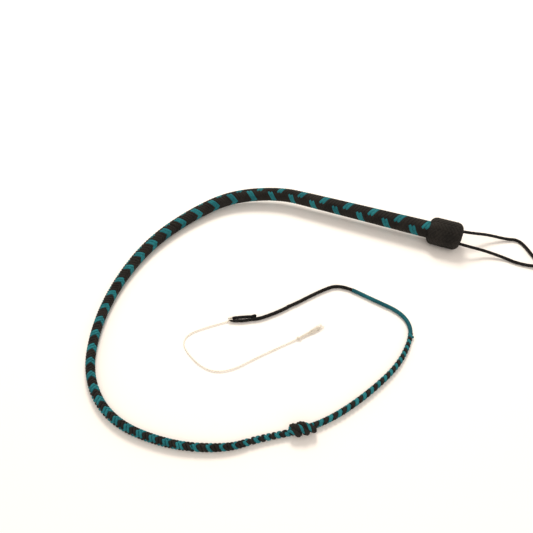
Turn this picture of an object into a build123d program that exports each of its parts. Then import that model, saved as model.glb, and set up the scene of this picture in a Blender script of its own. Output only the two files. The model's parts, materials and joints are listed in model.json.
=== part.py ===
from build123d import *
import math
import os

# Nylon bullwhip, coiled on the ground. Millimetres, +Z up, ground at z = 0.
# The handle lies along X with its butt towards +X; the origin is on the ground under its middle.

# ---- driving dimensions -------------------------------------------------------------------
handle_length = 213.0     # butt face to the rounded front end of the handle's plait
handle_radius = 10.0      # over the outer plait, at the front of the handle
handle_rear_radius = 11.8 # and where it ends inside the heel knot
rod_radius = 4.0          # steel rod in the handle
rod_front_inset = 12.0    # rod's front end back from the front pivot
rod_butt_inset = 22.0     # rod's rear end in from the butt face
binding_wall = 2.0        # tape and thread wound on the rod
overlay_wall = 1.9        # two layers of flattened cord in the outer plait
knot_radius = 18.3        # heel knot, over its weave
knot_length = 43.0
knot_cover_wall = 3.4     # interwoven cord of the heel knot
knot_shoulder = 8.6       # rounding of the heel knot's ends
butt_weave = 7.4          # weave and padding over the wound core at the butt
rod_chamfer = 0.8
shot_radius = 2.4         # shot-filled core cord in the thick part of the thong

loop_radius = 2.0         # wrist loop cord
loop_stub_reach = 14.0    # loop cord that stays with the heel knot, from the swing centre
loop_knot_radius = 5.2
loop_fold_along = 61.0    # fold line of the wrist loop, from the butt face
loop_fold_middle = 18.0   # where the fold line crosses the loop's middle, across Y
loop_tie_depth = 8.0      # how deep the loop cord is tied in under the butt
loop_knuckle_share = 0.8  # width of the hinge knuckle on each leg, in cord thicknesses
loop_tail_lift = 0.2
loop_fold_limit = 60.0    # how far up the loop's far end folds, in degrees
loop_fold_spare = 8.0     # how much further it could go before it touches the legs
loop_mitre_reach = 8.0    # how far from the fold line the ends are mitred for that

hitch_radius = 8.2        # overhand knot that binds the thong off
hitch_length = 34.0
hitch_rounding = 4.5
bump_radius = 1.6         # melted end of the last plaited strand, beside the sleeve
bump_back = 4.5           # how far it sits behind the plait's end
sleeve_radius = 2.4       # coloured cord at the head of the fall
fall_radius = 2.15        # fall cord
eye_radius = 1.75         # fall cord where it is doubled back into an eye
eye_half_gap = 2.5        # half the spacing of the eye's two legs at its bend
eye_leg_gap = 0.1         # half the space between the legs where they lie together
eye_spread_run = 8.0      # length over which the legs spread
eye_lead = 0.5
eye_end_swell = 1.2       # melted end of the fall cord, in cord radii
eye_bend_share = 0.98     # the bend is two arcs of nearly half the eye's width
cracker_post_length = 12.0
cracker_radius = 0.85     # twisted cracker cord
cracker_knot_radius = 2.2
tuft_length = 30.0
tuft_radius = 2.6

joint_gap = 0.3           # clearance at every ball and cup
rest_gap = 0.5            # the lash lies this far above the ground
arc_share = 0.45          # part of the shorter run that each arc takes up
tool_reach = 80.0         # size of the blocks and bars that cut whole pieces
ball_seam_turn = 23.0     # turns a ball's seam away from its tube's seam, so that they join cleanly
cup_seam_turn = 37.0

# ---- the lash, from the handle to the cracker ---------------------------------------------
# One row for each rigid piece: name, radius, and the corners of its route as
# (along X, across Y, share of the handle's height above the ground), from the front pivot.
thong = [
    ("thong_1", 9.1, [(-52, 0, 0.95), (-116, -27, 0.45)]),
    ("thong_2", 8.3, [(-155, -79, 0.12), (-182, -143, 0)]),
    ("thong_3", 6.7, [(-189, -212, 0), (-179, -279, 0)]),
    ("thong_4", 5.4, [(-152, -340, 0)]),
    ("thong_5", 4.7, [(-102, -375, 0)]),
    ("thong_6", 4.2, [(-35, -376, 0)]),
    ("thong_7", 3.8, [(20, -359, 0)]),
    ("thong_8", 3.2, [(46, -338.5, 0)]),
]
hitch = [("hitch", 3.2, [(84, -315, 0)])]
point = [
    ("point_1", 3.3, [(112, -290, 0)]),
    ("point_2", 3.2, [(140, -250, 0)]),
    ("point_3", 2.9, [(162, -208, 0)]),
    ("point_4", 2.5, [(169, -172, 0)]),
]
sleeve = [
    ("sleeve_1", sleeve_radius, [(166, -150, 0), (150, -135, 0)]),
    ("sleeve_2", sleeve_radius, [(118, -129, 0)]),
]
fall = [
    ("fall_1", fall_radius, [(72, -119, 0), (51.5, -138.5, 0)]),
    ("fall_2", fall_radius, [(20.5, -178.5, 0)]),
    ("fall_3", fall_radius, [(-9, -204.5, 0)]),
]
eye_tip = (-36.5, -216.5)
cracker = [
    ("cracker_1", cracker_radius, [(-60, -236, 0), (-77, -254.5, 0)]),
    ("cracker_2", cracker_radius, [(-71.5, -271, 0), (-35, -288, 0)]),
    ("cracker_3", cracker_radius, [(-9, -278, 0), (13.5, -249, 0)]),
]
cracker_knot_place = (48, -212)
tuft_end = (66.5, -189)
shot_core_pieces = 3      # thong pieces, from the handle, that hold the shot-filled cord

# ---- the wrist loop: two legs of one cord, as (along X, across Y, height) from the butt face
loop_fold_height = 2.8
loop_upper = [(0, 10, 20), (12, 13, 18.5), (35, 27, 10), (loop_fold_along, 35, loop_fold_height)]
loop_lower = [(0, -11, 17), (12, -10, 15.5), (35, -2, 7.5), (loop_fold_along, -1, loop_fold_height)]
loop_upper_end = [(loop_fold_along, 35, loop_fold_height), (74, 39.5, 2.5), (84, 33, 2.3),
                  (97, 13, 2.6), (104, 5, 4.2)]
loop_lower_end = [(loop_fold_along, -1, loop_fold_height), (74, -4, 2.5), (92, -3.5, 2.5),
                  (103, -2, 4.2)]
loop_knot_place = (108, 0)
loop_tails = [(122, 5), (124, -4)]

# ---- values worked out from the sizes above -----------------------------------------------
axis_height = knot_radius
front_x = -handle_length / 2 + handle_radius
butt_x = handle_length / 2
drop = axis_height - handle_radius - rest_gap
parts = {}


def ground_height(radius, share):
    return radius + rest_gap + share * drop


def corner_radii(points):
    runs = [(Vector(*b) - Vector(*a)) for a, b in zip(points, points[1:])]
    radii = []
    for before, after in zip(runs, runs[1:]):
        half_turn = math.radians(before.get_angle(after)) / 2
        radii.append(arc_share * min(before.length, after.length) / math.tan(half_turn))
    return radii


def tube(points, radii, radius):
    line = FilletPolyline(*points, radius=radii) if radii else Line(*points)
    start = Plane(origin=line @ 0, z_dir=line % 0)
    solid = sweep(start * Circle(radius), path=line)
    share = solid.volume / (math.pi * radius**2 * line.length)
    print(f"  tube r {radius:.2f} length {line.length:.1f} volume share {share:.4f}"
          f" arcs {[round(r, 1) for r in radii]}")
    return solid, line


def ball_end(line, radius):
    tip = Plane(origin=line @ 1, z_dir=line % 1) * Rot(0, 0, ball_seam_turn)
    return tip * Sphere(radius, arc_size1=0, arc_size2=90, align=Align.NONE)


def cup(line, ball_radius):
    """The space that the neighbour's ball turns in, at the start of a piece."""
    start = Plane(origin=line @ 0, z_dir=line % 0) * Rot(0, 0, cup_seam_turn)
    return start * Sphere(ball_radius + joint_gap)


def bar_x(x_start, x_end, radius):
    return Pos((x_start + x_end) / 2, 0, axis_height) * Rot(0, 90, 0) * Cylinder(radius, x_end - x_start)


def tapered_front_rounded(x_start, x_end, front_radius, rear_radius):
    """A round bar along X with a ball for its front end, thicker towards the butt."""
    place = Pos((x_start + x_end) / 2, 0, axis_height) * Rot(0, 90, 0)
    ball = Pos(x_start, 0, axis_height) * Rot(0, -90, 0) * Sphere(
        front_radius, arc_size1=0, arc_size2=90, align=Align.NONE)
    return place * Cone(front_radius, rear_radius, x_end - x_start) + ball


def front_rounded(x_start, x_end, radius):
    ball = Pos(x_start, 0, axis_height) * Rot(0, -90, 0) * Sphere(
        radius, arc_size1=0, arc_size2=90, align=Align.NONE)
    return bar_x(x_start, x_end, radius) + ball


def handle():
    belly_front, belly_rear = handle_radius - overlay_wall, handle_rear_radius - overlay_wall
    binding_radius = rod_radius + binding_wall
    rod_front = front_x + rod_front_inset
    rod_rear = butt_x - rod_butt_inset
    core_rear = butt_x - butt_weave
    rod = bar_x(rod_front, rod_rear, rod_radius)
    rod = chamfer(rod.edges().filter_by(GeomType.CIRCLE), rod_chamfer)
    binding = front_rounded(front_x, rod_rear, binding_radius)
    belly = tapered_front_rounded(front_x, rod_rear, belly_front, belly_rear)
    overlay = tapered_front_rounded(front_x, rod_rear, handle_radius, handle_rear_radius)
    parts["handle_rod"] = rod
    parts["handle_binding"] = binding - rod
    parts["handle_belly_plait"] = belly - binding
    parts["handle_overlay_plait"] = overlay - belly

    # Heel knot: a cord-wound lump on the end of the handle, under a woven cover.
    knot_front = butt_x - knot_length
    lump_radius = knot_radius - knot_cover_wall
    lump = bar_x(knot_front + knot_cover_wall, core_rear, lump_radius)
    lump = fillet(lump.edges().filter_by(GeomType.CIRCLE), knot_shoulder - knot_cover_wall / 2)
    cover = bar_x(knot_front, butt_x, knot_radius)
    cover = fillet(cover.edges().filter_by(GeomType.CIRCLE), knot_shoulder)
    stubs, bridge = loop_anchor(core_rear)
    anchor = stubs + bridge
    parts["heel_knot_foundation"] = lump - overlay - anchor
    parts["heel_knot_cover"] = cover - lump - overlay - anchor
    parts["wrist_loop_anchor"] = anchor


def leg_points(points):
    return [(butt_x + x, y, z) for x, y, z in points]


def swing_ball(radius):
    return Pos(butt_x, 0, axis_height) * Sphere(radius)


def loop_anchor(core_rear):
    """The cord's middle, tied in under the heel knot, with both legs coming out of the butt."""
    inner_x = core_rear - loop_tie_depth
    legs = []
    for route in (loop_upper, loop_lower):
        points = leg_points(route)
        solid, _ = tube(points, corner_radii(points), loop_radius)
        legs.append(solid & swing_ball(loop_stub_reach))
        x, y, z = points[0]
        legs.append(Pos((x + inner_x) / 2, y, z) * Rot(0, 90, 0) * Cylinder(loop_radius, x - inner_x))
    upper, lower = leg_points(loop_upper)[0], leg_points(loop_lower)[0]
    a = Vector(inner_x, upper[1], upper[2])
    b = Vector(inner_x, lower[1], lower[2])
    cross = Plane(origin=(a + b) / 2, z_dir=b - a) * Cylinder(loop_radius, (b - a).length)
    rounds = Pos(a) * Sphere(loop_radius) + Pos(b) * Sphere(loop_radius)
    return legs[0] + legs[1] + legs[2] + legs[3], cross + rounds


def fold_line():
    return Pos(butt_x + loop_fold_along, loop_fold_middle, loop_fold_height)


def fold_bar(radius):
    return fold_line() * Rot(90, 0, 0) * Cylinder(radius, tool_reach)


def fold_mitre():
    """What would swing into the legs: all that lies above a plane through the fold line."""
    tilt = 90 - loop_fold_limit - loop_fold_spare
    corner = Pos(tool_reach / 2, 0, tool_reach / 2) * Box(tool_reach, tool_reach, tool_reach)
    return fold_line() * Rot(0, -tilt, 0) * corner


def near_fold():
    """The stretch beside the fold line that the mitre may cut."""
    return fold_line() * Rot(90, 0, 0) * Cylinder(loop_mitre_reach, tool_reach)


def wrist_loop():
    far = fold_line() * Pos(tool_reach / 2, 0, 0) * Box(tool_reach, tool_reach, tool_reach)
    knuckle_size = 2 * loop_radius * loop_knuckle_share
    legs = (("upper", loop_upper, loop_upper_end), ("lower", loop_lower, loop_lower_end))
    for side, near_route, far_route in legs:
        points = leg_points(near_route)
        near, _ = tube(points, corner_radii(points), loop_radius)
        near = near - swing_ball(loop_stub_reach + joint_gap)
        knuckle = fold_bar(loop_radius) & (Pos(*points[-1]) * Box(tool_reach, knuckle_size, tool_reach))
        parts[f"wrist_loop_{side}_leg"] = (near - far) + knuckle
        points = leg_points(far_route)
        end, _ = tube(points, corner_radii(points), loop_radius)
        cut = fold_bar(loop_radius + joint_gap) + (fold_mitre() & near_fold())
        parts[f"wrist_loop_{side}_end"] = end - cut
    knot_x = butt_x + loop_knot_place[0]
    knot = Pos(knot_x, loop_knot_place[1], loop_knot_radius) * Sphere(loop_knot_radius)
    for x, y in loop_tails:
        tail_start = Vector(knot_x, loop_knot_place[1], loop_radius + loop_tail_lift)
        tail_end = Vector(butt_x + x, y, loop_radius + loop_tail_lift)
        tail = Plane(origin=(tail_start + tail_end) / 2, z_dir=tail_end - tail_start)
        knot = knot + tail * Cylinder(loop_radius, (tail_end - tail_start).length)
    parts["wrist_loop_knot"] = knot
    for side in ("upper", "lower"):
        parts[f"wrist_loop_{side}_end"] = parts[f"wrist_loop_{side}_end"] - knot


def route_of(rows, start, end):
    """Every corner of the lash's route in row coordinates, with the pivots between pieces."""
    points, owners = [start], [None]
    for name, radius, corners in rows:
        for x, y, share in corners:
            points.append((front_x + x, y, ground_height(radius, share)))
            owners.append(name)
    points.append(end)
    owners.append(None)
    radii = [0] + corner_radii(points) + [0]
    pivots = {rows[0][0]: points[0]}
    for i in range(1, len(points) - 1):
        if owners[i + 1] != owners[i] and owners[i + 1] is not None:
            pivots[owners[i + 1]] = tuple((Vector(*points[i]) + Vector(*points[i + 1])) / 2)
    return points, owners, radii, pivots


def lash_piece(name, radius, route, after, cup_radius):
    """The outer shape of one piece: a cup at its first pivot, a ball at its last."""
    points, owners, radii, pivots = route
    corners = [i for i, owner in enumerate(owners) if owner == name]
    ends = [pivots[name]] + [points[i] for i in corners]
    ends.append(pivots[after] if after else points[corners[-1] + 1])
    solid, line = tube(ends, [radii[i] for i in corners], radius)
    solid = solid + ball_end(line, radius)
    if cup_radius:
        solid = solid - cup(line, cup_radius)
    return solid


def plaits(route, rows, names_after):
    """Hollow outer plait and filled core for each thong piece."""
    before = handle_radius
    for k, ((name, radius, _), after) in enumerate(zip(rows, names_after)):
        shape = lash_piece(name, radius, route, after, before)
        core = lash_piece(name, radius - overlay_wall, route, after, before)
        parts[f"{name}_overlay_plait"] = shape - core
        parts[f"{name}_belly_plait"] = core
        if k < shot_core_pieces:
            shot = lash_piece(name, shot_radius, route, after, before)
            parts[f"{name}_belly_plait"] = core - shot
            parts[f"{name}_shot_core"] = shot
        before = radius


def hitch_knot(route):
    """The overhand knot, a fat barrel round the plait that runs through it."""
    points, owners, radii, pivots = route
    i = owners.index("hitch")
    inner = lash_piece("hitch", hitch[0][1], route, "point_1", thong[-1][1])
    start, corner, end = Vector(*pivots["hitch"]), Vector(*points[i]), Vector(*pivots["point_1"])
    direction = (end - start).normalized()
    middle = (corner.X, corner.Y, hitch_radius + rest_gap / 2)
    place = Plane(origin=middle, z_dir=(direction.X, direction.Y, 0))
    clear = thong[-1][1] + joint_gap
    half = min((corner - start).length, (end - corner).length, hitch_length / 2) - clear
    barrel = place * Cylinder(hitch_radius, 2 * half)
    barrel = fillet(barrel.edges().filter_by(GeomType.CIRCLE), min(hitch_rounding, half / 2))
    parts["hitch_plait"] = inner
    parts["hitch_knot"] = barrel - inner


def melted_bump(route):
    """The last plaited strand's melted end, on the outer side of the plait beside the sleeve."""
    pivot = Vector(*route[3]["sleeve_1"])
    corner = Vector(*route[0][route[1].index("point_4")])
    back = (corner - pivot).normalized()
    side = Vector(-back.Y, back.X, 0)
    return Pos(pivot + back * bump_back + side * point[-1][1]) * Sphere(bump_radius) - parts["point_4_plait"]


def eye(route):
    """The fall's doubled end: out along one leg, round the bend and back beside itself."""
    corner = Vector(*route[0][route[1].index("fall_3")])
    tip = Vector(front_x + eye_tip[0], eye_tip[1], corner.Z)
    along = (tip - corner).normalized()
    side = Vector(-along.Y, along.X, 0)
    back = eye_radius + eye_leg_gap
    bend = eye_half_gap
    leg_length = (tip - corner).length - eye_radius
    a = corner + along * eye_lead
    b = a + along * (leg_length - eye_lead)
    spread = a + along * eye_spread_run
    outer = [a, spread + side * (bend - back), b + side * bend]
    inner = [b - side * bend, spread - side * (bend + back), a - side * 2 * back]
    route_points = [tuple(p) for p in outer + inner]
    radii = corner_radii(route_points)
    radii[1] = radii[2] = bend * eye_bend_share
    loop, _ = tube(route_points, radii, eye_radius)
    parts["fall_eye"] = loop
    parts["fall_end_bump"] = Plane(origin=a - side * 2 * back, z_dir=-along) * Sphere(
        eye_radius * eye_end_swell, arc_size1=0, arc_size2=90, align=Align.NONE)
    return corner + along * (leg_length - bend)


def main():
    rows = thong + hitch + point + sleeve + fall
    names = [row[0] for row in rows]
    start = (front_x, 0, axis_height)
    corner = fall[-1][2][-1]
    eye_height = ground_height(fall_radius, 0)
    end = (front_x + eye_tip[0], eye_tip[1], eye_height)
    route = route_of(rows, start, end)
    print("lash route", [tuple(round(v, 1) for v in p) for p in route[0]])
    print("pivots", {k: tuple(round(v, 2) for v in p) for k, p in route[3].items()})

    handle()
    wrist_loop()
    last = len(thong)
    plaits(route, rows[:last], names[1:last + 1])
    hitch_knot(route)
    first = last + 1
    before = hitch[0][1]
    for k in range(first, len(rows)):
        name, radius, _ = rows[k]
        after = names[k + 1] if k + 1 < len(rows) else None
        if name == "fall_3":
            break
        node = f"{name}_plait" if name.startswith("point") else f"{name}_cord"
        parts[node] = lash_piece(name, radius, route, after, before)
        before = radius
    parts["point_4_end_bump"] = melted_bump(route)
    # The last stretch of the fall stops at the corner where the eye begins.
    corner_point = (front_x + corner[0], corner[1], eye_height)
    straight, line = tube([route[3]["fall_3"], corner_point], [], fall_radius)
    bend_centre = eye(route)
    parts["fall_3_cord"] = straight - cup(line, fall_radius) - parts["fall_eye"]
    parts["fall_end_bump"] = parts["fall_end_bump"] - straight - parts["fall_eye"]

    # Cracker: twisted cord from the eye, a knot, then a frayed tuft.
    cracker_height = ground_height(cracker_radius, 0)
    knot_point = (front_x + cracker_knot_place[0], cracker_knot_place[1], cracker_height)
    bend_low = (bend_centre.X, bend_centre.Y, cracker_height)
    route_c = route_of(cracker, bend_low, knot_point)
    print("cracker route", [tuple(round(v, 1) for v in p) for p in route_c[0]])
    points_c = route_c[0]
    last_pivot = tuple((Vector(*points_c[-2]) + Vector(*points_c[-1])) / 2)
    route_c[3]["cracker_4"] = last_pivot
    print("cracker pivots", {k: tuple(round(v, 2) for v in p) for k, p in route_c[3].items()})
    post = Pos(bend_centre) * Cylinder(eye_half_gap + eye_radius + joint_gap, cracker_post_length)
    parts["cracker_1_cord"] = lash_piece("cracker_1", cracker_radius, route_c, "cracker_2", 0) - post
    parts["cracker_2_cord"] = lash_piece("cracker_2", cracker_radius, route_c, "cracker_3", cracker_radius)
    parts["cracker_3_cord"] = lash_piece("cracker_3", cracker_radius, route_c, "cracker_4", cracker_radius)
    run, run_line = tube([last_pivot, knot_point], [], cracker_radius)
    knot = Pos(knot_point[0], knot_point[1], cracker_knot_radius) * Sphere(cracker_knot_radius)
    parts["cracker_4_cord"] = run - cup(run_line, cracker_radius) - knot
    way = Vector(tuft_end[0] - cracker_knot_place[0], tuft_end[1] - cracker_knot_place[1], 0).normalized()
    tuft_start = Vector(knot_point[0], knot_point[1], tuft_radius)
    tuft = Plane(origin=tuft_start + way * tuft_length / 2, z_dir=way) * Cone(
        cracker_radius, tuft_radius, tuft_length)
    parts["cracker_tuft"] = tuft - knot
    parts["cracker_knot"] = knot

    os.makedirs("parts", exist_ok=True)
    for node, solid in parts.items():
        solid.label = node
        export_step(solid, f"parts/{node}.step")
    print(len(parts), "nodes")


main()
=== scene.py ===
import json
import math
import random

import bpy
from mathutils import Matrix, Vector


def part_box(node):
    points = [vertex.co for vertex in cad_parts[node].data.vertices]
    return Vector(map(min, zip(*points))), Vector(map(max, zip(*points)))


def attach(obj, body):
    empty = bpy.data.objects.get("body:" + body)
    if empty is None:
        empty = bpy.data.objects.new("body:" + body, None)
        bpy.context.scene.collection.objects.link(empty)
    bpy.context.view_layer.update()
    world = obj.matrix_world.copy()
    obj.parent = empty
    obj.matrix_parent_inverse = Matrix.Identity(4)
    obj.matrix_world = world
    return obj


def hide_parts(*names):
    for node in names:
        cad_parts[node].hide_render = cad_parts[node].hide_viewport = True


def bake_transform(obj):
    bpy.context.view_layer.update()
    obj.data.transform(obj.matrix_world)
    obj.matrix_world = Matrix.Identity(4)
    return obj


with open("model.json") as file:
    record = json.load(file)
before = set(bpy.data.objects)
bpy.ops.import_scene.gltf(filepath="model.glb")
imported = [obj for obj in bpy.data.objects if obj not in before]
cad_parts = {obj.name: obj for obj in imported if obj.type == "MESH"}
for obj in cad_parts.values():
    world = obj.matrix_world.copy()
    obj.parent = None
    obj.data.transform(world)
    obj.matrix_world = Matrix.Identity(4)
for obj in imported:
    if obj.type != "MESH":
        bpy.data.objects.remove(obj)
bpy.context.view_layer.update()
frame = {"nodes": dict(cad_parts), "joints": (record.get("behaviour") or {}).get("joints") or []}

bpy.ops.object.select_all(action="DESELECT")
random.seed(11)

pivots = {joint["child"]: Vector(joint["pos_m"]) for joint in frame["joints"]}
upward = Vector((0, 0, 1))


def fromHex(text):
    # sRGB hex to linear colour
    parts = [int(text[i:i + 2], 16) / 255 for i in (1, 3, 5)]
    return tuple(c / 12.92 if c <= 0.04045 else ((c + 0.055) / 1.055) ** 2.4 for c in parts) + (1,)


def addNode(tree, kind, settings=None, links=None):
    # settings: attribute or socket values; links: input socket -> output socket
    node = tree.nodes.new(kind)
    for key, value in (settings or {}).items():
        if isinstance(key, str) and hasattr(node, key):
            setattr(node, key, value)
        else:
            node.inputs[key].default_value = value
    for key, source in (links or {}).items():
        tree.links.new(source, node.inputs[key])
    return node


def newMaterial(name):
    material = bpy.data.materials.new(name)
    material.use_nodes = True
    tree = material.node_tree
    shader = tree.nodes["Principled BSDF"]
    return material, tree, shader


# materials
sheath = {
    "threadSpacing": 0.85,    # mm, the sheath's own braid, drawn twice as coarse so that it shows
    "threadBump": 0.35,
    "fuzz": 0.02,
    "roughness": 0.8,
    "specular": 0.16,
    "ior": 1.53,              # nylon
}


def nylonSheath(name, colours, spacing=sheath["threadSpacing"], bump=sheath["threadBump"]):
    # braided nylon cord sheath: matt, faintly fuzzy, with its own fine diagonal threads. Its colour is random
    # mottle times the threads' relief: painted shade in the grooves between threads, painted highlight on
    # their tops
    material, tree, shader = newMaterial(name)
    where = addNode(tree, "ShaderNodeUVMap", {"uv_map": "alongCord"}).outputs[0]
    threads = []
    for turn in (0.9, -0.9):
        turned = addNode(tree, "ShaderNodeMapping", {"Rotation": (0, 0, turn)}, {"Vector": where})
        wave = addNode(tree, "ShaderNodeTexWave", {"Scale": math.pi / 10 / spacing, "Distortion": 0.6,
                                                   "Detail": 1.0, "Detail Scale": 2.0},
                       {"Vector": turned.outputs[0]})
        threads.append(wave.outputs["Fac"])
    weave = addNode(tree, "ShaderNodeMath", {"operation": "MAXIMUM"}, {0: threads[0], 1: threads[1]})
    place = addNode(tree, "ShaderNodeTexCoord").outputs["Object"]
    mottle = addNode(tree, "ShaderNodeTexNoise", {"Scale": 420.0, "Detail": 5.0, "Roughness": 0.65},
                     {"Vector": place})
    broad = addNode(tree, "ShaderNodeTexNoise", {"Scale": 60.0, "Detail": 2.0}, {"Vector": place})
    # the colour follows the threads' relief: painted shade in the grooves, painted highlight on the thread
    # tops, mixed with a random mottle of tone
    mixed = addNode(tree, "ShaderNodeMath", {"operation": "MULTIPLY"},
                    {0: mottle.outputs["Fac"], 1: weave.outputs[0]})
    shade = addNode(tree, "ShaderNodeMath", {"operation": "MULTIPLY_ADD", 2: 0.02},
                    {0: mixed.outputs[0], 1: broad.outputs["Fac"]})
    ramp = addNode(tree, "ShaderNodeValToRGB", None, {"Fac": shade.outputs[0]})
    first, last = ramp.color_ramp.elements
    first.position, first.color = 0.03, fromHex(colours[0])
    last.position, last.color = 0.34, fromHex(colours[2])
    middle = ramp.color_ramp.elements.new(0.16)
    middle.color = fromHex(colours[1])
    tree.links.new(ramp.outputs["Color"], shader.inputs["Base Color"])
    relief = addNode(tree, "ShaderNodeMath", {"operation": "ADD"},
                     {0: weave.outputs[0], 1: mottle.outputs["Fac"]})
    raised = addNode(tree, "ShaderNodeBump", {"Strength": bump, "Distance": 0.0003},
                     {"Height": relief.outputs[0]})
    tree.links.new(raised.outputs["Normal"], shader.inputs["Normal"])
    shader.inputs["Roughness"].default_value = sheath["roughness"]
    shader.inputs["IOR"].default_value = sheath["ior"]
    shader.inputs["Specular IOR Level"].default_value = sheath["specular"]
    shader.inputs["Sheen Weight"].default_value = sheath["fuzz"]
    shader.inputs["Sheen Roughness"].default_value = 0.5
    return material


tealNylon = nylonSheath("tealNylonSheath", ("#093a44", "#17646d", "#278088"))
blackNylon = nylonSheath("blackNylonSheath", ("#0b0a09", "#181614", "#2a2723"))
tealCover = nylonSheath("tealNylonCordCover", ("#06303a", "#0f4f5a", "#196670"), spacing=0.6)
blackCord = nylonSheath("blackNylonCord", ("#070707", "#0e0d0d", "#1a1918"), spacing=0.6)
whiteTwist = nylonSheath("whiteNylonThread", ("#d8cfbd", "#efe9dc", "#fbf8f0"), spacing=0.5, bump=0.5)


def groundSteel(name):
    # ground carbon steel rod: bright grey, with fine scratches round it
    material, tree, shader = newMaterial(name)
    place = addNode(tree, "ShaderNodeTexCoord").outputs["Object"]
    stretched = addNode(tree, "ShaderNodeMapping", {"Scale": (4, 1, 1)}, {"Vector": place})
    scratches = addNode(tree, "ShaderNodeTexNoise", {"Scale": 900.0, "Detail": 3.0},
                        {"Vector": stretched.outputs[0]})
    rough = addNode(tree, "ShaderNodeMapRange", {"To Min": 0.28, "To Max": 0.45},
                    {"Value": scratches.outputs["Fac"]})
    tree.links.new(rough.outputs[0], shader.inputs["Roughness"])
    raised = addNode(tree, "ShaderNodeBump", {"Strength": 0.2, "Distance": 0.00005},
                     {"Height": scratches.outputs["Fac"]})
    tree.links.new(raised.outputs["Normal"], shader.inputs["Normal"])
    shader.inputs["Base Color"].default_value = fromHex("#b4b3ae")
    shader.inputs["Metallic"].default_value = 1.0
    return material


def waxedBinding(name):
    # cloth tape and waxed thread: dull brown turns, a little greasy
    material, tree, shader = newMaterial(name)
    place = addNode(tree, "ShaderNodeTexCoord").outputs["Object"]
    turns = addNode(tree, "ShaderNodeTexWave", {"Scale": 220.0, "Distortion": 1.2, "Detail": 2.0},
                    {"Vector": place})
    ramp = addNode(tree, "ShaderNodeValToRGB", None, {"Fac": turns.outputs["Fac"]})
    first, last = ramp.color_ramp.elements
    first.color, last.color = fromHex("#3b2f22"), fromHex("#6a573f")
    tree.links.new(ramp.outputs["Color"], shader.inputs["Base Color"])
    raised = addNode(tree, "ShaderNodeBump", {"Strength": 0.4, "Distance": 0.0003},
                     {"Height": turns.outputs["Fac"]})
    tree.links.new(raised.outputs["Normal"], shader.inputs["Normal"])
    shader.inputs["Roughness"].default_value = 0.6
    return material


handleSteel = groundSteel("groundSteelRod")
waxedTape = waxedBinding("waxedTapeBinding")


# lines that the cords follow
def smoothLine(points):
    # the line of a NURBS spline with these control points, in millimetres
    curve = bpy.data.curves.new("route", "CURVE")
    curve.dimensions = "3D"
    curve.resolution_u = 24
    spline = curve.splines.new("NURBS")
    spline.points.add(len(points) - 1)
    for knot, place in zip(spline.points, points):
        knot.co = (place[0] / 1000, place[1] / 1000, place[2] / 1000, 1)
    spline.order_u = 3
    spline.use_endpoint_u = True
    holder = bpy.data.objects.new("route", curve)
    mesh = bpy.data.meshes.new_from_object(holder)
    line = [vertex.co.copy() for vertex in mesh.vertices]
    bpy.data.meshes.remove(mesh)
    bpy.data.objects.remove(holder)
    bpy.data.curves.remove(curve)
    return line


def measuredRoute(points, step=0.0005, smoothing=5):
    # places, directions and sideways vectors at even steps along the smooth line
    line = smoothLine(points)
    along = [0.0]
    for before, after in zip(line, line[1:]):
        along.append(along[-1] + (after - before).length)
    count = int(along[-1] / step) + 1
    places, k = [], 0
    for i in range(count):
        s = i * along[-1] / (count - 1)
        while k < len(line) - 2 and along[k + 1] < s:
            k += 1
        share = (s - along[k]) / max(along[k + 1] - along[k], 1e-9)
        places.append(line[k].lerp(line[k + 1], share))
    ahead = []
    for i in range(count):
        low, high = max(0, i - smoothing), min(count - 1, i + smoothing)
        ahead.append((places[high] - places[low]).normalized())
    sideways = [t.cross(upward).normalized() for t in ahead]
    over = [side.cross(t).normalized() for side, t in zip(sideways, ahead)]
    return {"step": along[-1] / (count - 1), "length": along[-1], "places": places,
            "ahead": ahead, "side": sideways, "over": over}


def at(route, s, what="places"):
    rows = route[what]
    f = min(max(s / route["step"], 0), len(rows) - 1.001)
    i = int(f)
    return rows[i].lerp(rows[i + 1], f - i)


def alongOf(route, point, low=0.0, high=None):
    # how far along the route the place nearest to a point is
    last = len(route["places"]) if high is None else int(high / route["step"])
    first = int(low / route["step"])
    near = min(range(first, last), key=lambda i: (route["places"][i] - point).length_squared)
    return near * route["step"]


def between(table, s):
    # straight lines between the (distance, value) pairs of a table, in millimetres
    for (a, low), (b, high) in zip(table, table[1:]):
        if s <= b:
            return low + (high - low) * max(0, min(1, (s - a) / (b - a)))
    return table[-1][1]


def eased(x):
    x = max(0, min(1, x))
    return x * x * (3 - 2 * x)


# mesh pieces made of closed strands
def newBuild():
    return {"points": [], "faces": [], "uvs": [], "colours": []}


def addStrand(build, rings, colour, lengths, girth):
    # a closed tube through rings of points, which go round anticlockwise about its direction
    start, sides = len(build["points"]), len(rings[0])
    for ring in rings:
        build["points"].extend(ring)
    for i in range(len(rings) - 1):
        a = start + i * sides
        for k in range(sides):
            n = (k + 1) % sides
            build["faces"].append((a + k, a + n, a + sides + n, a + sides + k))
            u0, u1 = girth * k / sides, girth * (k + 1) / sides
            v0, v1 = lengths[i], lengths[i + 1]
            build["uvs"].append(((u0, v0), (u1, v0), (u1, v1), (u0, v1)))
            build["colours"].append(colour)
    last = start + (len(rings) - 1) * sides
    firstCap, lastCap = range(start + sides - 1, start - 1, -1), range(last, last + sides)
    for cap, v in ((firstCap, lengths[0]), (lastCap, lengths[-1])):
        build["faces"].append(tuple(cap))
        build["uvs"].append(tuple((girth * k / sides, v) for k in range(sides)))
        build["colours"].append(colour)


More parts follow.
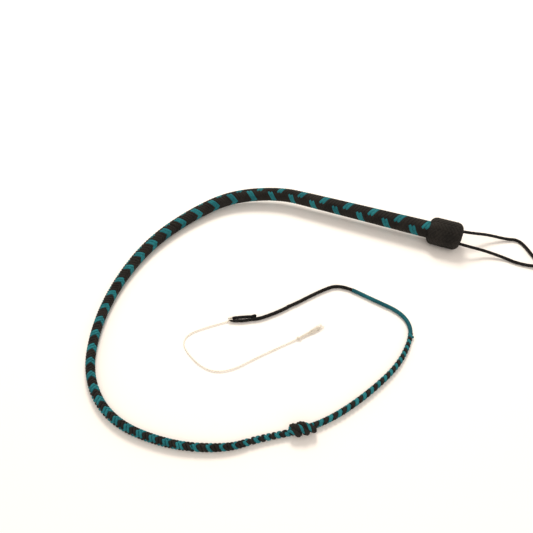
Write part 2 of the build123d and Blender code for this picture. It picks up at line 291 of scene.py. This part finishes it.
def finishBuild(build, name, materials):
    mesh = bpy.data.meshes.new(name)
    mesh.from_pydata(build["points"], [], build["faces"])
    layer = mesh.uv_layers.new(name="alongCord")
    flat = [value for face in build["uvs"] for corner in face for value in corner]
    layer.data.foreach_set("uv", flat)
    mesh.polygons.foreach_set("material_index", build["colours"])
    mesh.polygons.foreach_set("use_smooth", [len(face) == 4 for face in build["faces"]])
    for material in materials:
        mesh.materials.append(material)
    mesh.update()
    piece = bpy.data.objects.new(name, mesh)
    bpy.context.scene.collection.objects.link(piece)
    return piece


def ovalRing(centre, across, out, halfWidth, halfThick, sides, flatness=1.0):
    ring = []
    for k in range(sides):
        turn = 2 * math.pi * k / sides
        rise = math.sin(turn)
        rise = math.copysign(abs(rise) ** flatness, rise)
        ring.append(centre + across * (halfWidth * math.cos(turn)) + out * (halfThick * rise))
    return ring


def addRoundCord(build, route, start, end, radius, colour, sides=14, step=0.0016, squeeze=None, offset=None):
    # a plain round cord along a stretch of a route; squeeze and offset may vary along it
    count = max(2, math.ceil((end - start) / step)) + 1
    rings, lengths = [], []
    for i in range(count):
        s = start + (end - start) * i / (count - 1)
        side, over = at(route, s, "side"), at(route, s, "over")
        centre = at(route, s)
        size = radius(s) if callable(radius) else radius
        wide = size * (squeeze(s) if squeeze else 1)
        if offset:
            centre = centre + offset(s)
        rings.append([centre + over * (size * size / wide * math.cos(a)) + side * (wide * math.sin(a))
                      for a in (2 * math.pi * k / sides for k in range(sides))])
        lengths.append((s - start) * 1000)
    startSize = radius(start) if callable(radius) else radius
    addStrand(build, rings, colour, lengths, 2 * math.pi * startSize * 1000)


# the lash
lashPoints = [
    (85, 0, 18.3), (-96.5, 0, 18.3), (-148.5, 0, 17.0), (-212.5, -27, 13.1), (-251.5, -79, 9.7),
    (-278.5, -143, 8.8), (-285.5, -212, 7.2), (-275.5, -279, 7.2), (-248.5, -340, 5.9),
    (-198.5, -375, 5.2), (-131.5, -376, 4.7), (-76.5, -359, 4.3), (-50.5, -338.5, 3.7),
    (-12.5, -315, 3.7), (15.5, -290, 3.8), (43.5, -250, 3.7), (65.5, -208, 3.4), (72.5, -172, 3.0),
    (69.5, -150, 2.9), (53.5, -135, 2.9), (21.5, -129, 2.9), (-24.5, -119, 2.65), (-45, -138.5, 2.65),
    (-76, -178.5, 2.65), (-105.5, -204.5, 2.65),
]
lash = measuredRoute(lashPoints)
chain = [f"thong_{k}" for k in range(1, 9)] + ["hitch"] + [f"point_{k}" for k in range(1, 5)]
chain += ["sleeve_1", "sleeve_2", "fall_1", "fall_2", "fall_3"]
turnsAt, reached = {}, 0.0
for body in chain:
    turnsAt[body] = reached = alongOf(lash, pivots[body], reached)
turnsAt["end"] = lash["length"]
print("lash route", round(lash["length"], 4), "m", {body: round(s * 1000) for body, s in turnsAt.items()})

plait = {
    # distance from the heel knot's middle and thickness over the plait, mm
    "taper": [(0, 23.6), (175, 20), (200, 19.2), (240, 18.4), (290, 17.9), (350, 17.3), (400, 16.4),
              (450, 15.2),
              (500, 13.2), (550, 11.8), (600, 10.9), (700, 9.2), (800, 8.1), (832, 7.0), (870, 6.4),
              (940, 6.9), (980, 6.7), (1030, 6.1), (1060, 5.4), (1085, 4.9)],
    "pitch": 1.64,            # a strand's full turn, in thicknesses
    "cordThick": [(0, 1.3), (600, 1.35), (900, 1.6), (1085, 1.25)],
    "plump": [(0, 0.6), (600, 0.66), (850, 0.78), (1085, 0.78)],
    # strands of each direction, teal first; the others end and sink at these distances
    "strands": 8,
    "teal": (0, 1),
    "ends": {7: 240, 4: 385, 6: 545, 2: 640, 1: 770, 5: 832},
    "endLength": 26,
    "roll": [(0, -126), (185, -126), (300, -84), (430, -56), (520, -38), (650, -12), (760, 3), (872, 20),
             (905, 153), (1090, 153)],
    "phase": 0.0,
    # where each column of the herringbone ends, in strand spacings, for each number of strands
    "columns": {8: (-0.5, 3.5, 7.5, 11.5), 7: (-0.5, 3.5, 6.5, 10.5), 6: (-0.5, 2.5, 5.5, 8.5),
                5: (-0.5, 2.5, 4.5, 7.5), 4: (-0.5, 1.5, 3.5, 5.5), 3: (-0.5, 2.5, 4.0, 4.0),
                2: (-0.5, 1.5, 2.5, 2.5)},
}
turned = [0.0]                # turns that a strand has made, at each millimetre of the lash
for i in range(int(lash["length"] * 1000) + 2):
    turned.append(turned[-1] + 2 * math.pi / (plait["pitch"] * between(plait["taper"], i)))


def plaitState(s):
    # everything about the plait that changes along it, at s metres
    far = s * 1000
    here = [1 - eased((far - plait["ends"][i]) / plait["endLength"]) if i in plait["ends"] else 1
            for i in range(plait["strands"])]
    count = sum(here)
    low, high = math.floor(count + 1e-6), math.ceil(count - 1e-6)
    mix = count - low
    edges = [math.pi * (a / low * (1 - mix) + b / high * mix)
             for a, b in zip(plait["columns"][low], plait["columns"][high])]
    i = min(int(far), len(turned) - 2)
    return {
        "here": here, "count": count, "edges": edges,
        "wide": between(plait["taper"], far) / 1000, "thick": between(plait["cordThick"], far) / 1000,
        "plump": between(plait["plump"], far),
        "roll": math.radians(between(plait["roll"], far)),
        "turned": plait["phase"] + turned[i] + (turned[i + 1] - turned[i]) * (far - i),
        "centre": at(lash, s), "side": at(lash, s, "side"), "over": at(lash, s, "over"),
    }


def columnLift(state, angle):
    # 1 where the forward strands lie on top, -1 where they lie under
    edges, blur = state["edges"], math.pi / state["count"]
    best = 0
    for start, end in ((edges[0], edges[1]), (edges[2], edges[3])):
        size = end - start
        if size < 1e-4:
            continue
        middle = (start + end) / 2
        away = abs((angle - middle + math.pi) % (2 * math.pi) - math.pi)
        best = max(best, eased(0.5 + (size / 2 - away) / blur) * min(1, size / blur))
    return 2 * best - 1


def strandPlace(state, i, way):
    order = sum(state["here"][:i])
    angle = way * (state["turned"] + 2 * math.pi * order / state["count"])
    lift = way * columnLift(state, angle) * state["here"][i] - 1.6 * (1 - state["here"][i])
    angle += state["roll"]
    out = state["over"] * math.cos(angle) + state["side"] * math.sin(angle)
    half = state["thick"] / 2
    radius = state["wide"] / 2 - 2 * half + lift * half
    return state["centre"] + out * radius, out, radius


def addPlait(build, start, end, sides=10, fineness=26):
    # the two sets of strands of a stretch of the lash, and the liner that they lie on
    thinnest = min(between(plait["taper"], s * 1000) for s in (start, end)) / 1000
    count = math.ceil((end - start) / (thinnest / fineness)) + 1
    stops = [start + (end - start) * i / (count - 1) for i in range(count)]
    states = [plaitState(s) for s in stops]
    nudge = 0.0002
    before, after = [plaitState(s - nudge) for s in stops], [plaitState(s + nudge) for s in stops]
    slope = math.atan(math.pi / plait["pitch"])
    for way in (1, -1):
        for i in range(plait["strands"]):
            rings, lengths, travelled, girth = [], [], 0.0, 0
            for state, prior, later in zip(states, before, after):
                if state["here"][i] < 0.03:
                    break
                centre, out, radius = strandPlace(state, i, way)
                ahead = (strandPlace(later, i, way)[0] - strandPlace(prior, i, way)[0]).normalized()
                across = out.cross(ahead).normalized()
                lifted = ahead.cross(across)
                spacing = 2 * math.pi * max(radius, 0.0012) / state["count"] * math.cos(slope)
                halfWidth = 0.53 * spacing * (0.5 + 0.5 * state["here"][i])
                halfThick = state["thick"] * state["plump"]
                rings.append(ovalRing(centre, across, lifted, halfWidth, halfThick, sides, 0.85))
                if lengths:
                    travelled += (centre - last).length * 1000
                last = centre
                lengths.append(travelled + 7.3 * i)
                girth = girth or 4000 * halfWidth
            if len(rings) > 1:
                addStrand(build, rings, 0 if i in plait["teal"] else 1, lengths, girth)
    rings, lengths = [], []
    for state, s in zip(states[::4] + states[-1:], stops[::4] + stops[-1:]):
        size = max(state["wide"] / 2 - 1.7 * state["thick"], 0.0006)
        rings.append([state["centre"] + (state["over"] * math.cos(a) + state["side"] * math.sin(a)) * size
                      for a in (2 * math.pi * k / 12 for k in range(12))])
        lengths.append(s * 1000)
    if (states[-1]["centre"] - states[(len(states) - 1) // 4 * 4]["centre"]).length < 1e-9:
        rings.pop()
        lengths.pop()
    addStrand(build, rings, 1, lengths, 40)


def addRope(build, places, outs, ropeRadius, strandRadius, pitch, colours, sides=8):
    # strands laid round a line, turning once in each pitch; one strand alone runs down the middle
    directions = [(places[min(i + 1, len(places) - 1)] - places[max(i - 1, 0)]).normalized()
                  for i in range(len(places))]
    for k, colour in enumerate(colours):
        travelled, line = 0.0, []
        for i, (place, out, ahead) in enumerate(zip(places, outs, directions)):
            travelled += (place - places[i - 1]).length if i else 0
            turn = 2 * math.pi * (travelled / pitch + k / len(colours))
            up = (out - ahead * out.dot(ahead)).normalized()
            wide = (ropeRadius - strandRadius) if len(colours) > 1 else 0
            line.append(place + (up * math.cos(turn) + ahead.cross(up) * math.sin(turn)) * wide)
        rings, lengths = [], []
        for i, centre in enumerate(line):
            ahead = (line[min(i + 1, len(line) - 1)] - line[max(i - 1, 0)]).normalized()
            up = (outs[i] - ahead * outs[i].dot(ahead)).normalized()
            beside = ahead.cross(up)
            rings.append([centre + up * (strandRadius * math.cos(a)) + beside * (strandRadius * math.sin(a))
                          for a in (2 * math.pi * j / sides for j in range(sides))])
            lengths.append((lengths[-1] + (centre - line[i - 1]).length * 1000) if i else 0.0)
        addStrand(build, rings, colour, lengths, 2000 * math.pi * strandRadius)


def knotWraps(middle, along, turns, length, wide, tall, lean, steps=44):
    # the line of a cord wound round a knot: it rises out of the middle and dives back in
    beside = Vector((along.y, -along.x, 0))
    places, outs = [], []
    count = int(turns * steps)
    for i in range(count + 1):
        u = i / count
        turn = 2 * math.pi * turns * u
        swell = min(1, math.sin(math.pi * u) * 2.2) ** 0.6 if 0 < u < 1 else 0
        out = beside * math.sin(turn) + upward * math.cos(turn)
        place = middle + along * (length * (u - 0.5) + lean * math.sin(turn) * swell)
        place += beside * (wide * swell * math.sin(turn)) + upward * (tall * swell * math.cos(turn))
        places.append(place)
        outs.append(out)
    return places, outs


def middleOf(body, share=0.5):
    after = chain[chain.index(body) + 1] if body != chain[-1] else "end"
    return turnsAt[body] + share * (turnsAt[after] - turnsAt[body])


def crossJoint(piece):
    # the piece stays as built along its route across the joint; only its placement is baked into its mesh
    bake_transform(piece)


handleRear = alongOf(lash, Vector((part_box("heel_knot_cover")[0].x + 0.002, 0, pivots["thong_1"].z)))
firstBend = turnsAt["thong_1"] - 0.015
build = newBuild()
addPlait(build, handleRear, firstBend)
handlePlait = finishBuild(build, "handle_outer_plait", [tealNylon, blackNylon])
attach(handlePlait, "handle")
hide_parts("handle_overlay_plait")
print("handle plait", len(build["faces"]), "faces")

hitchKnot = {"turns": 2.6, "length": 0.02, "wide": 0.0046, "tall": 0.0040, "lean": 0.0046,
             "ropeRadius": 0.0033, "strandRadius": 0.0018, "pitch": 0.017}
low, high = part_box("hitch_knot")
hitchWay = (pivots["point_1"] - pivots["hitch"]).normalized()
hitchHeight = hitchKnot["tall"] + hitchKnot["ropeRadius"] + 0.0003
hitchMiddle = Vector(((low.x + high.x) / 2, (low.y + high.y) / 2, hitchHeight))
build = newBuild()
wraps = knotWraps(hitchMiddle, Vector((hitchWay.x, hitchWay.y, 0)).normalized(), hitchKnot["turns"],
                  hitchKnot["length"], hitchKnot["wide"], hitchKnot["tall"], hitchKnot["lean"])
addRope(build, *wraps, hitchKnot["ropeRadius"], hitchKnot["strandRadius"], hitchKnot["pitch"],
        (0, 1, 1, 1), sides=9)
hitchPiece = finishBuild(build, "hitch_knot_wraps", [tealNylon, blackNylon])
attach(hitchPiece, "hitch")
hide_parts("hitch_knot")
print("hitch knot", len(build["faces"]), "faces")

# each plaited piece runs from the middle of one body to the middle of the next, over their joint
plaitRows = []
stop = firstBend
for k, body in enumerate(chain[:13]):
    parent = "handle" if k == 0 else chain[k - 1]
    end = turnsAt["thong_1"] + 0.105 if k == 0 else middleOf(body)
    if body == "point_4":
        end = turnsAt["sleeve_1"]
    reach = min(0.025, 0.45 * (turnsAt[body] - stop), 0.45 * (end - turnsAt[body]))
    plaitRows.append((body, parent, stop, end, max(reach, 0.008)))
    stop = end
for body, parent, start, end, reach in plaitRows:
    build = newBuild()
    addPlait(build, start, end)
    piece = finishBuild(build, f"{body}_outer_plait", [tealNylon, blackNylon])
    nodes = [n for n in frame["nodes"] if n.startswith(f"{body}_") and ("plait" in n or "core" in n)]
    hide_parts(*nodes)
    crossJoint(piece)
print("thong and point plaits", len(plaitRows), "pieces")

# the last strand's melted end, beside the sleeve
low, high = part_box("point_4_end_bump")
bumpMiddle, bumpRadius = (low + high) / 2, (high.x - low.x) / 2
build = newBuild()
ahead = at(lash, turnsAt["sleeve_1"], "ahead")
places = [bumpMiddle + ahead * (bumpRadius * (i / 8 - 1) * 1.5) for i in range(17)]
rings, lengths = [], []
for i, place in enumerate(places):
    size = bumpRadius * math.sqrt(max(0.02, 1 - (i / 8 - 1) ** 2)) * (1 + 0.12 * math.sin(i * 2.1))
    side, over = at(lash, turnsAt["sleeve_1"], "side"), at(lash, turnsAt["sleeve_1"], "over")
    rings.append([place + over * (size * math.cos(a)) + side * (size * math.sin(a))
                  for a in (2 * math.pi * k / 12 for k in range(12))])
    lengths.append(i * 0.4)
addStrand(build, rings, 0, lengths, 9)
bump = finishBuild(build, "melted_strand_end", [tealCover])
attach(bump, "point_4")
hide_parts("point_4_end_bump")

# sleeve and fall
fallCord = {"sleeveRadius": 2.4, "fallRadius": 2.12, "eyeRadius": 1.75,    # mm
            "sleevePast": 0.006, "plaitOverlap": 0.008}
sleeveEnd = turnsAt["fall_1"] + fallCord["sleevePast"]


def sleeveRadius(s):
    # the cover swells a little where it is melted on
    near = math.exp(-(((s - sleeveEnd) * 1000 + 1.5) / 1.6) ** 2)
    wobble = math.sin(s * 610) + 0.6 * math.sin(s * 1430 + 1)
    return (fallCord["sleeveRadius"] + 0.12 * near + 0.035 * wobble) / 1000


def fallRadius(s):
    wobble = math.sin(s * 560) + 0.7 * math.sin(s * 1270 + 2)
    return (fallCord["fallRadius"] + 0.05 * wobble) / 1000


softRows = [
    ("sleeve_1", "point_4", turnsAt["sleeve_1"] - fallCord["plaitOverlap"], middleOf("sleeve_1"), 0.006),
    ("sleeve_2", "sleeve_1", middleOf("sleeve_1"), middleOf("sleeve_2", 0.35), 0.012),
    ("fall_1", "sleeve_2", middleOf("sleeve_2", 0.35), middleOf("fall_1"), 0.018),
    ("fall_2", "fall_1", middleOf("fall_1"), middleOf("fall_2"), 0.02),
]
for body, parent, start, end, reach in softRows:
    build = newBuild()
    sleeveStop = min(end, sleeveEnd)
    if start < sleeveEnd:
        addRoundCord(build, lash, start, sleeveStop, sleeveRadius, 0, sides=18)
    if end > sleeveEnd:
        addRoundCord(build, lash, max(start, sleeveEnd - 0.004), end, fallRadius, 1, sides=18)
    kind = "fall" if body.startswith("fall") else "sleeve"
    ending = "cord_cover" if kind == "sleeve" else "round_cord"
    piece = finishBuild(build, f"{body}_{ending}", [tealCover, blackCord])
    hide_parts(f"{body}_cord")
    crossJoint(piece)

# the fall's last stretch: out to the eye's tip and back beside itself
eyeTip = Vector((-133, -216.5, 2.65))
eyeCorner = Vector(lashPoints[-1])
eyeWay = (eyeTip - eyeCorner).normalized()
eyeSide = Vector((-eyeWay.y, eyeWay.x, 0))


def eyePoint(forward, sideways, height=0.0):
    return tuple(eyeCorner + eyeWay * forward + eyeSide * sideways + Vector((0, 0, height)))


eyeRoute = measuredRoute([tuple(p) for p in [
    (-45, -138.5, 2.65), (-76, -178.5, 2.65), eyePoint(-8, 0), eyePoint(3, 1.2), eyePoint(12, 2.6),
    eyePoint(21, 2.5), eyePoint(28.2, 1.7), eyePoint(29.8, 0), eyePoint(28.2, -1.7),
    eyePoint(21, -2.5), eyePoint(11, -2.9),
    eyePoint(3, -2.7), eyePoint(-1.5, -4.2)]], smoothing=3)
fallThree = alongOf(eyeRoute, pivots["fall_3"])
eyeStart = alongOf(eyeRoute, at(lash, middleOf("fall_2")), 0, fallThree)
build = newBuild()
eyeNeck = fallThree + 0.02


def eyeRadius(s):
    full, thin = fallCord["fallRadius"], fallCord["eyeRadius"]
    left = (eyeRoute["length"] - s) / 0.0022
    # the cord's melted end is a little fatter, and round
    rounded = math.sqrt(max(0.05, 1 - max(0, 1 - left * 1.6) ** 2))
    end = (1 + 0.22 * math.exp(-((left - 1) / 0.8) ** 2)) * rounded
    return (full + (thin - full) * eased((s - eyeNeck) / 0.006) + 0.04 * math.sin(s * 900)) / 1000 * end


addRoundCord(build, eyeRoute, eyeStart, eyeRoute["length"], eyeRadius, 1, sides=18, step=0.0009)
fallEye = finishBuild(build, "fall_3_doubled_eye", [tealCover, blackCord])
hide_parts("fall_3_cord", "fall_eye", "fall_end_bump")
crossJoint(fallEye)
print("sleeve, fall and eye")

# cracker
crackerPoints = [(-129.1, -214.8, 1.35), (-156.5, -236, 1.35), (-173.5, -254.5, 1.35), (-168, -271, 1.35),
                 (-131.5, -288, 1.35), (-105.5, -278, 1.35), (-83, -249, 1.35), (-48.5, -212, 1.35)]
twist = {"plyRadius": 0.00046, "plyOffset": 0.00037, "pitch": 0.0062}
crackerRoute = measuredRoute(crackerPoints)
crackers = ["cracker_1", "cracker_2", "cracker_3", "cracker_4"]
crackerAt = {body: alongOf(crackerRoute, pivots[body]) for body in crackers}
crackerAt["end"] = crackerRoute["length"]


def addTwist(build, route, start, end, plies=2, step=0.0007):
    count = max(2, math.ceil((end - start) / step)) + 1
    for ply in range(plies):
        rings, lengths = [], []
        for i in range(count):
            s = start + (end - start) * i / (count - 1)
            turn = 2 * math.pi * (s / twist["pitch"] + ply / plies)
            side, over = at(route, s, "side"), at(route, s, "over")
            loose = 1 + 0.18 * math.sin(s * 260 + ply)
            plyWay = side * math.sin(turn) + over * math.cos(turn)
            centre = at(route, s) + plyWay * twist["plyOffset"] * loose
            rings.append([centre + (over * math.cos(a) + side * math.sin(a)) * twist["plyRadius"]
                          for a in (2 * math.pi * k / 7 for k in range(7))])
            lengths.append((s - start) * 1000)
        addStrand(build, rings, 0, lengths, 3)


for k, body in enumerate(crackers):
    start = 0.0 if k == 0 else (crackerAt[crackers[k - 1]] + crackerAt[body]) / 2
    if k == 0:
        end = (crackerAt["cracker_1"] + crackerAt["cracker_2"]) / 2
    else:
        after = crackers[k + 1] if k < 3 else "end"
        end = crackerAt[after] if k == 3 else (crackerAt[body] + crackerAt[after]) / 2
    build = newBuild()
    addTwist(build, crackerRoute, start, end)
    piece = finishBuild(build, f"{body}_twist", [whiteTwist])
    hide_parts(f"{body}_cord")
    parent = "fall_3" if k == 0 else crackers[k - 1]
    if k == 0:
        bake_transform(piece)
    else:
        crossJoint(piece)

# the cracker's own loop round the eye's bend, its knot and its frayed end
loopMiddle = Vector(eyePoint(29.4, 0)) / 1000
build = newBuild()
eyeLoop = {"shift": 0.0011, "radius": 0.00235, "ropeRadius": 0.0008, "strandRadius": 0.00045, "pitch": 0.0035}
for shift in (-eyeLoop["shift"], eyeLoop["shift"]):
    places, outs = [], []
    for i in range(34):
        turn = 2 * math.pi * i / 33 * 0.98
        out = eyeWay * math.cos(turn) + upward * math.sin(turn)
        places.append(loopMiddle + eyeSide * shift + out * eyeLoop["radius"])
        outs.append(out)
    addRope(build, places, outs, eyeLoop["ropeRadius"], eyeLoop["strandRadius"], eyeLoop["pitch"],
            (0, 0), sides=6)
crackerLoop = finishBuild(build, "cracker_loop_on_eye", [whiteTwist])
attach(crackerLoop, "fall_3")

smallKnot = {"turns": 2.6, "length": 0.0034, "wide": 0.0013, "tall": 0.0012, "lean": 0.0008,
             "ropeRadius": 0.00088, "strandRadius": 0.0005, "pitch": 0.004}
knotMiddle = (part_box("cracker_knot")[0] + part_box("cracker_knot")[1]) / 2
tuftWay = Vector((18.5, 23, 0)).normalized()
build = newBuild()
wraps = knotWraps(knotMiddle, tuftWay, smallKnot["turns"], smallKnot["length"], smallKnot["wide"],
                  smallKnot["tall"], smallKnot["lean"], steps=26)
addRope(build, *wraps, smallKnot["ropeRadius"], smallKnot["strandRadius"], smallKnot["pitch"],
        (0, 0), sides=6)
crackerKnot = finishBuild(build, "cracker_tied_knot", [whiteTwist])
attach(crackerKnot, "cracker_4")
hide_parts("cracker_knot")

tuft = {"fibres": 90, "longest": 0.034, "shortest": 0.019, "fibreRadius": 0.00011, "spread": 0.0028}
tuftSide = Vector((tuftWay.y, -tuftWay.x, 0))
build = newBuild()
for k in range(tuft["fibres"]):
    turn, far = random.uniform(0, 2 * math.pi), math.sqrt(random.random())
    reach = random.uniform(tuft["shortest"], tuft["longest"])
    lean, curl = random.gauss(0, 0.0012), random.uniform(-1, 1)
    places, outs = [], []
    for i in range(13):
        u = i / 12
        opened = 0.0007 + (tuft["spread"] - 0.0007) * u ** 1.3
        sway = lean * u * u + 0.0005 * math.sin(5 * u + 6 * curl)
        place = knotMiddle + tuftWay * (0.0012 + reach * u)
        place += tuftSide * (opened * far * math.cos(turn) + sway)
        place += upward * (opened * far * math.sin(turn) * 0.7 * (1 - 0.4 * u) - 0.0004 * u)
        place.z = max(place.z, 0.0003)
        places.append(place)
        outs.append(upward)
    addRope(build, places, outs, 0, tuft["fibreRadius"], 1, (0,), sides=4)
tuftPiece = finishBuild(build, "cracker_frayed_tuft", [whiteTwist])
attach(tuftPiece, "cracker_4")
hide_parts("cracker_tuft")
print("cracker twist", round(crackerRoute["length"], 3), "m")

# wrist loop
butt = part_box("heel_knot_cover")[1].x * 1000
loopRoutes = {
    "upper": [(-4, 10, 20), (0, 10, 20), (12, 13, 18.5), (35, 27, 10), (61, 35, 2.8), (74, 39.5, 2.5),
              (84, 33, 2.3), (97, 13, 2.6), (104, 5, 4.2)],
    "lower": [(-4, -11, 17), (0, -11, 17), (12, -10, 15.5), (35, -2, 7.5), (61, -1, 2.8), (74, -4, 2.5),
              (92, -3.5, 2.5), (103, -2, 4.2)],
}


def loopRadius(s):
    return (2.0 + 0.05 * math.sin(s * 700) + 0.03 * math.sin(s * 1700)) / 1000


loopKnot = {"place": (108, 0, 5.2), "tails": [(122, 5), (124, -4)],    # mm from the butt
            "turns": 2.3, "length": 0.0078, "wide": 0.0031, "tall": 0.0030, "lean": 0.0016,
            "cordRadius": 0.002, "tailRadius": 0.00195}
knotPlace = Vector((butt + loopKnot["place"][0], loopKnot["place"][1], loopKnot["place"][2])) / 1000
build = newBuild()
wraps = knotWraps(knotPlace, Vector((1, 0, 0)), loopKnot["turns"], loopKnot["length"], loopKnot["wide"],
                  loopKnot["tall"], loopKnot["lean"])
addRope(build, *wraps, loopKnot["cordRadius"], loopKnot["cordRadius"], 1, (0,), sides=14)
for x, y in loopKnot["tails"]:
    far = Vector((butt + x, y, 2.3)) / 1000
    near = Vector((knotPlace.x, knotPlace.y, 0.003))
    places = [near.lerp(far, i / 18) + Vector((0, 0.0006 * math.sin(i / 3), 0)) for i in range(19)]
    addRope(build, places, [upward] * 19, loopKnot["cordRadius"], loopKnot["tailRadius"], 1, (0,), sides=14)
loopKnotPiece = finishBuild(build, "wrist_loop_tied_knot", [blackCord])
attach(loopKnotPiece, "wrist_loop_far")
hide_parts("wrist_loop_knot")
for side, points in loopRoutes.items():
    route = measuredRoute([(butt + x, y, z) for x, y, z in points])
    split = min(range(len(route["places"])), key=lambda i: abs(route["places"][i].x - butt / 1000 - 0.042))
    split *= route["step"]
    for part, start, end in (("leg", 0.0, split), ("end", split, route["length"])):
        build = newBuild()
        addRoundCord(build, route, start, end, loopRadius, 0, sides=16)
        piece = finishBuild(build, f"wrist_loop_{side}_{part}_cord", [blackCord])
        if part == "leg":
            nodes = ["wrist_loop_anchor"] if side == "upper" else []
            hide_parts(*nodes)
            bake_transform(piece)
        else:
            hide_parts(f"wrist_loop_{side}_leg", f"wrist_loop_{side}_end")
            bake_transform(piece)
print("wrist loop")

# heel knot
heelKnot = {"shoulder": 8.6, "strands": 20, "columnStrands": 4, "cordThick": 1.3, "slope": 50,
            "frontHole": 9.6, "buttHole": 3.5, "weaveThick": 0.78}
low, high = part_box("heel_knot_cover")
knotRadius, knotFront, knotButt = (high.y - low.y) * 500, low.x * 1000, high.x * 1000
knotHeight = (low.z + high.z) * 500


def knotProfile(t):
    # (x, radius, direction out) at t mm along the knot's outline, from the handle round to the butt
    bend, flat = heelKnot["shoulder"], knotRadius - heelKnot["shoulder"]
    runs = [flat - heelKnot["frontHole"], bend * math.pi / 2, knotButt - knotFront - 2 * bend,
            bend * math.pi / 2, flat - heelKnot["buttHole"]]
    t = max(0, min(t, sum(runs)))
    if t <= runs[0]:
        return knotFront, heelKnot["frontHole"] + t, (-1, 0)
    t -= runs[0]
    if t <= runs[1]:
        a = t / bend
        return knotFront + bend - bend * math.cos(a), flat + bend * math.sin(a), (-math.cos(a), math.sin(a))
    t -= runs[1]
    if t <= runs[2]:
        return knotFront + bend + t, knotRadius, (0, 1)
    t -= runs[2]
    if t <= runs[3]:
        a = t / bend
        return knotButt - bend + bend * math.sin(a), flat + bend * math.cos(a), (math.sin(a), math.cos(a))
    t -= runs[3]
    return knotButt, flat - t, (1, 0)


outline = (2 * (knotRadius - heelKnot["shoulder"]) - heelKnot["frontHole"] - heelKnot["buttHole"]
           + heelKnot["shoulder"] * math.pi + knotButt - knotFront - 2 * heelKnot["shoulder"])
knotSteps = 150
knotTurned = [0.0]
for i in range(knotSteps):
    radius = knotProfile(outline * (i + 0.5) / knotSteps)[1]
    around = outline / knotSteps * math.tan(math.radians(heelKnot["slope"]))
    knotTurned.append(knotTurned[-1] + around / max(radius, 7))


def knotStrandPlace(i, strand, way):
    x, radius, (outX, outR) = knotProfile(outline * i / knotSteps)
    whole = int(max(0, min(i, knotSteps - 1)))
    turn = knotTurned[whole] + (knotTurned[min(whole + 1, knotSteps)] - knotTurned[whole]) * (i - whole)
    angle = way * (turn + 2 * math.pi * strand / heelKnot["strands"])
    column = math.pi / heelKnot["strands"] * heelKnot["columnStrands"]
    wave = math.sin(math.pi * (angle + math.pi / heelKnot["strands"] / 2) / column)
    lift = way * max(-1, min(1, 2.6 * wave))
    out = Vector((outX, outR * math.sin(angle), outR * math.cos(angle)))
    half = heelKnot["cordThick"] / 2
    centre = Vector((x, radius * math.sin(angle), knotHeight + radius * math.cos(angle)))
    return (centre + out * (-2 * half + lift * half)) / 1000, out, radius


build = newBuild()
for way in (1, -1):
    for strand in range(heelKnot["strands"]):
        rings, lengths, travelled = [], [], 0.0
        for i in range(knotSteps + 1):
            centre, out, radius = knotStrandPlace(i, strand, way)
            ahead = (knotStrandPlace(min(i + 0.3, knotSteps), strand, way)[0]
                     - knotStrandPlace(max(i - 0.3, 0), strand, way)[0]).normalized()
            across = out.cross(ahead).normalized()
            lifted = ahead.cross(across)
            spacing = 2 * math.pi * radius / heelKnot["strands"] * math.cos(math.radians(heelKnot["slope"]))
            rings.append(ovalRing(centre, across, lifted, 0.53 * spacing / 1000,
                                  heelKnot["weaveThick"] / 1000, 8, 0.85))
            if i:
                travelled += (centre - last).length * 1000
            last = centre
            lengths.append(travelled + 5.1 * strand)
        addStrand(build, rings, 0, lengths, 7)
heelWeave = finishBuild(build, "heel_knot_weave", [blackNylon])
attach(heelWeave, "handle")
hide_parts("heel_knot_cover")
print("heel knot", len(build["faces"]), "faces")

# CAD pieces that stay: the inner parts
innerFinish = {"handle_rod": handleSteel, "handle_binding": waxedTape}
for name, node in frame["nodes"].items():
    if node.hide_render:
        continue
    node.data.materials.clear()
    node.data.materials.append(innerFinish.get(name, blackNylon))

# floor, light and camera
bpy.ops.mesh.primitive_plane_add(size=8, location=(0, 0, 0))
floor = bpy.context.object
floor.name = "floor"
floorMaterial, tree, shader = newMaterial("whitePaper")
shader.inputs["Base Color"].default_value = fromHex("#f7f5f2")
shader.inputs["Roughness"].default_value = 0.75
floor.data.materials.append(floorMaterial)

world = bpy.data.worlds.new("studio")
world.use_nodes = True
world.node_tree.nodes["Background"].inputs["Color"].default_value = fromHex("#fff4ea")
world.node_tree.nodes["Background"].inputs["Strength"].default_value = 0.78
bpy.context.scene.world = world
bpy.context.scene.view_settings.view_transform = "Standard"


def addSoftLight(name, place, target, size, power, colour):
    light = bpy.data.lights.new(name, "AREA")
    light.size, light.energy, light.color = size, power, fromHex(colour)[:3]
    lamp = bpy.data.objects.new(name, light)
    bpy.context.scene.collection.objects.link(lamp)
    lamp.location = place
    lamp.rotation_euler = (Vector(target) - Vector(place)).to_track_quat("-Z", "Y").to_euler()


addSoftLight("keyLight", (-0.5, 0.8, 1.3), (-0.1, -0.2, 0), 0.55, 20, "#fff6ea")
addSoftLight("fillLight", (0.7, -1.2, 1.4), (-0.1, -0.2, 0), 1.6, 7, "#fff6ee")

camera = bpy.data.cameras.new("camera")
camera.sensor_width, camera.lens = 36, 32.83
cameraObject = bpy.data.objects.new("camera", camera)
bpy.context.scene.collection.objects.link(cameraObject)
cameraObject.location = (0.0206, -0.5038, 0.4854)
cameraObject.rotation_euler = (math.radians(40), 0, math.radians(20.5))
bpy.context.scene.camera = cameraObject
